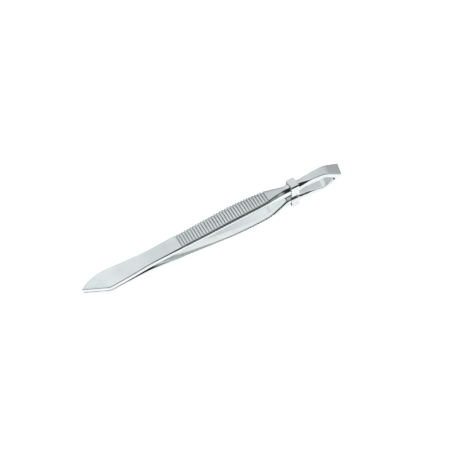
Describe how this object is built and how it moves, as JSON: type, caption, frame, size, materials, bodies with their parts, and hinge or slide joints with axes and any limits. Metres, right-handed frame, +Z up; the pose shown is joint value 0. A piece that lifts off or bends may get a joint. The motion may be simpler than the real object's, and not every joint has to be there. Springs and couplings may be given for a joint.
{
  "type": "slant tweezers",
  "caption": "Folded-strip tweezers with slanted leaf-shaped jaws, flat shanks, crowned ribbed grips, a waisted neck in a bent collar and an arrow-shaped heel.",
  "frame": {"origin": "middle of the overall box, on the plane the two arms mirror each other in", "axes": "+X from the jaw tips toward the heel, +Y away from the slanted jaw edges, +Z up through the upper arm"},
  "size_m": [0.08, 0.0075, 0.007],
  "materials": {
    "strip_nickel": "bright nickel plate over spring steel, fine rolled grain",
    "collar_nickel": "bright nickel plate over bent sheet",
    "spacer_steel": "plain dull steel"
  },
  "bodies": {
    "bow": {"heel_bow": "strip_nickel", "neck_collar": "collar_nickel", "neck_spacer": "spacer_steel"},
    "upper": {"upper_arm": "strip_nickel"},
    "lower": {"lower_arm": "strip_nickel"}
  },
  "joints": [
    {"name": "upper_arm_flex", "type": "hinge", "parent": "bow", "child": "upper", "pos_m": [0.0245, 0, 0.00183], "axis": [0, 1, 0], "range_deg": [0, 2.5], "stiffness_Nm_per_rad": 0.4},
    {"name": "lower_arm_flex", "type": "hinge", "parent": "bow", "child": "lower", "pos_m": [0.0245, 0, -0.00183], "axis": [0, -1, 0], "range_deg": [0, 2.5], "stiffness_Nm_per_rad": 0.4}
  ]
}
